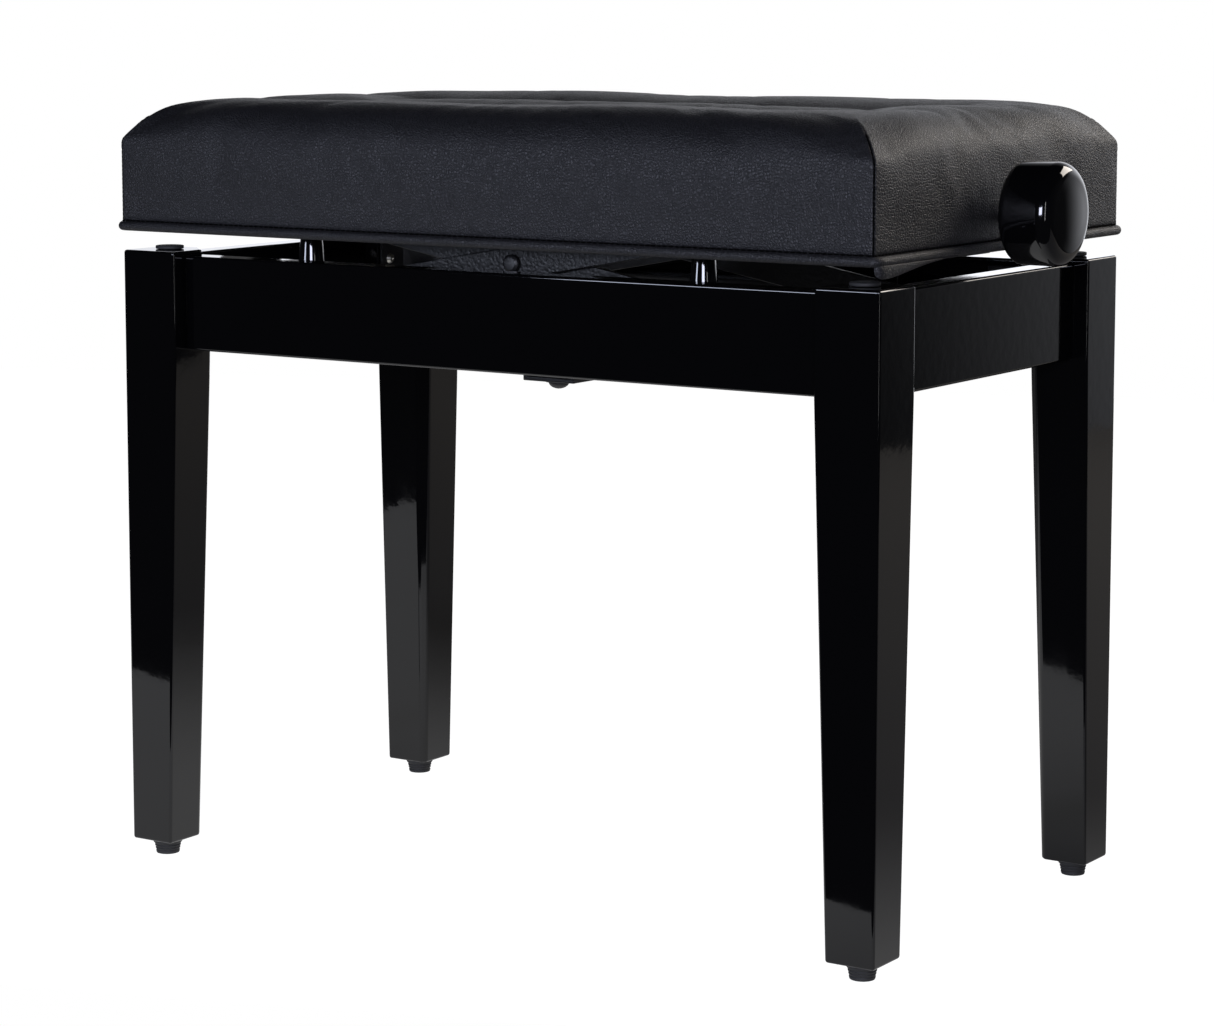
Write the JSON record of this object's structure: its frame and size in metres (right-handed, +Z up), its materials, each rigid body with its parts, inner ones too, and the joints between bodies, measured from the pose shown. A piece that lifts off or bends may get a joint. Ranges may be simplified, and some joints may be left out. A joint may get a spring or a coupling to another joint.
{
  "type": "piano bench",
  "caption": "Height-adjustable piano bench: four tapered legs and rails in gloss lacquer, a padded box seat, and a spindle-driven scissor lift.",
  "frame": {"origin": "on the floor, under the middle of the bench", "axes": "+X along the bench to the right-hand knob, +Y from the front to the back, +Z up"},
  "size_m": [0.634, 0.3206, 0.492],
  "materials": {
    "lacquered_wood": "high-gloss black polyester lacquer on beech",
    "leatherette": "black PU leatherette, fine grain, satin",
    "foam": "open-cell upholstery foam",
    "plywood": "poplar plywood, stained black",
    "black_steel": "black powder coat, satin",
    "textured_steel": "black hammertone coat on flat bar",
    "zinc_steel": "bright zinc plate",
    "gloss_plastic": "moulded black phenolic, polished",
    "nylon": "black nylon",
    "rubber": "matte black rubber"
  },
  "bodies": {
    "frame": {"leg_front_left": "lacquered_wood", "foot_front_left": "rubber", "leg_pad_front_left": "rubber", "corner_bracket_front_left": "black_steel", "leg_bolt_front_left": "zinc_steel", "buffer_post_front_left": "gloss_plastic", "leg_front_right": "lacquered_wood", "foot_front_right": "rubber", "leg_pad_front_right": "rubber", "corner_bracket_front_right": "black_steel", "leg_bolt_front_right": "zinc_steel", "buffer_post_front_right": "gloss_plastic", "leg_rear_left": "lacquered_wood", "foot_rear_left": "rubber", "leg_pad_rear_left": "rubber", "corner_bracket_rear_left": "black_steel", "leg_bolt_rear_left": "zinc_steel", "buffer_post_rear_left": "gloss_plastic", "leg_rear_right": "lacquered_wood", "foot_rear_right": "rubber", "leg_pad_rear_right": "rubber", "corner_bracket_rear_right": "black_steel", "leg_bolt_rear_right": "zinc_steel", "buffer_post_rear_right": "gloss_plastic", "rail_front": "lacquered_wood", "rail_rear": "lacquered_wood", "rail_left": "lacquered_wood", "rail_right": "lacquered_wood", "lower_guide_front": "black_steel", "lower_guide_rear": "black_steel", "lower_strut": "black_steel", "lower_pivot_shaft": "zinc_steel"},
    "seat": {"skirt_front": "plywood", "skirt_rear": "plywood", "skirt_left": "plywood", "skirt_right": "plywood", "upper_guide_front": "black_steel", "upper_guide_rear": "black_steel", "upper_pivot_shaft": "zinc_steel", "spindle_bearing_left": "black_steel", "spindle_bearing_right": "black_steel", "seat_board": "plywood", "seat_foam": "foam", "seat_cover": "leatherette", "piping": "leatherette"},
    "arms_a": {"arm_a_front": "textured_steel", "arm_a_rear": "textured_steel", "middle_bolt_front": "black_steel", "middle_bolt_rear": "black_steel"},
    "arms_b": {"arm_b_front": "textured_steel", "arm_b_rear": "textured_steel", "roller_shaft": "zinc_steel", "roller_front": "nylon", "roller_rear": "nylon"},
    "nut_bar": {"nut_bar": "zinc_steel"},
    "spindle": {"spindle": "zinc_steel", "knob_left": "gloss_plastic", "knob_right": "gloss_plastic", "thrust_collar_left": "zinc_steel", "thrust_collar_right": "zinc_steel"}
  },
  "joints": [
    {"name": "seat_lift", "type": "slide", "parent": "frame", "child": "seat", "axis": [0, 0, 1], "range_m": [-0.0105, 0.082]},
    {"name": "arms_a_swing", "type": "hinge", "parent": "frame", "child": "arms_a", "pos_m": [-0.206, 0, 0.3585], "axis": [0, -1, 0], "range_deg": [-1.7, 12.4]},
    {"name": "arms_b_swing", "type": "hinge", "parent": "seat", "child": "arms_b", "pos_m": [-0.206, 0, 0.43], "axis": [0, 1, 0], "range_deg": [-1.7, 12.4]},
    {"name": "nut_bar_level", "type": "hinge", "parent": "arms_a", "child": "nut_bar", "pos_m": [0.188, 0, 0.43], "axis": [0, -1, 0], "range_deg": [-12.4, 1.7]},
    {"name": "spindle_turn", "type": "hinge", "parent": "seat", "child": "spindle", "pos_m": [0, 0, 0.43], "axis": [1, 0, 0], "range_deg": [-570, 4400]}
  ],
  "couplings": [
    {"joint": "arms_a_swing", "follows": "seat_lift", "rad_per_m": 2.594},
    {"joint": "arms_b_swing", "follows": "seat_lift", "rad_per_m": 2.594},
    {"joint": "nut_bar_level", "follows": "seat_lift", "rad_per_m": -2.594},
    {"joint": "spindle_turn", "follows": "seat_lift", "rad_per_m": 929.8}
  ]
}
